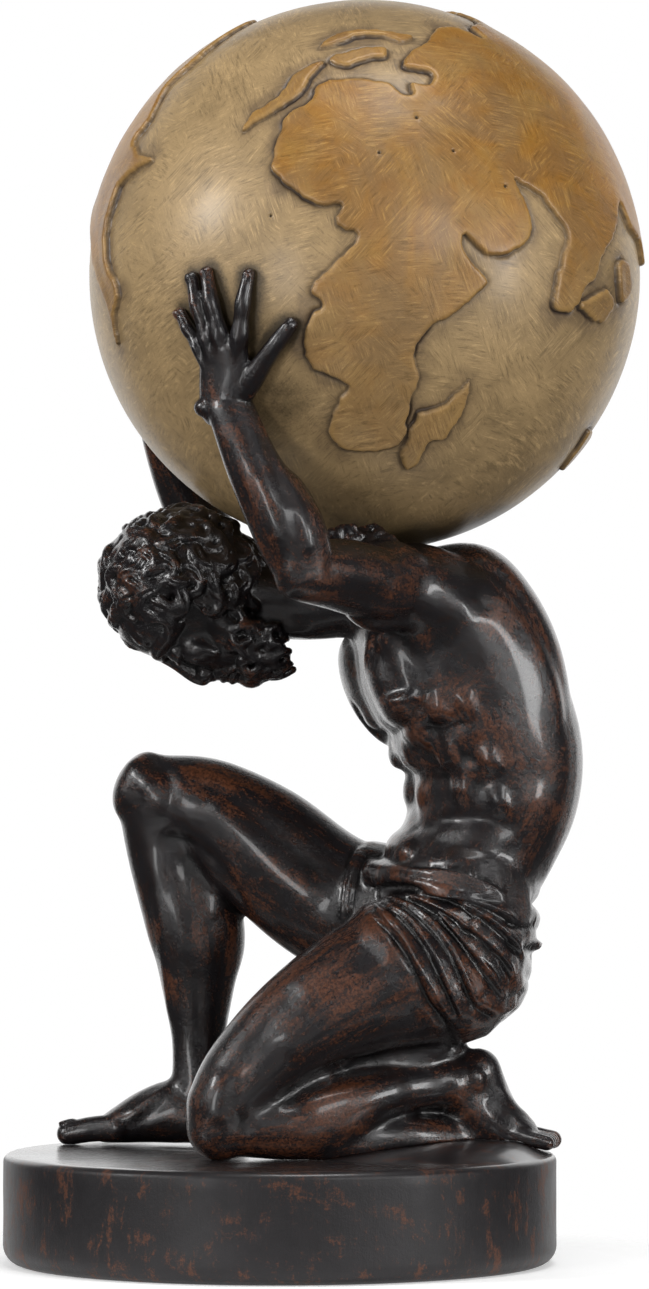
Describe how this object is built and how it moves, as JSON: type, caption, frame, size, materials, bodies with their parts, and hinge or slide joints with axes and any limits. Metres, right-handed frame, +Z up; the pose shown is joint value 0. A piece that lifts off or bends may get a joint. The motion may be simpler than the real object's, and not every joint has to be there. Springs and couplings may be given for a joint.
{
  "type": "atlas statue",
  "caption": "Dark bronze-look statue of a kneeling bearded man in a loincloth who carries a globe with raised lands on his bent back, on a round plinth.",
  "frame": {"origin": "middle of the plinth's underside", "axes": "+Z up, the man faces -X and his left side is towards -Y, which is the front of the picture"},
  "size_m": [0.1553, 0.1349, 0.3055],
  "materials": {
    "plinth": "cast resin painted as near-black bronze, with brushed rust-brown streaks, satin",
    "figure": "cast resin painted as near-black bronze, rubbed through to reddish brown in patches, glossy",
    "globe": "cast resin, brushed olive-brass sea and ochre-gold land with a dark wash along the coasts, satin"
  },
  "bodies": {
    "root": {"plinth": "plinth", "figure": "figure", "globe": "globe"}
  },
  "joints": []
}
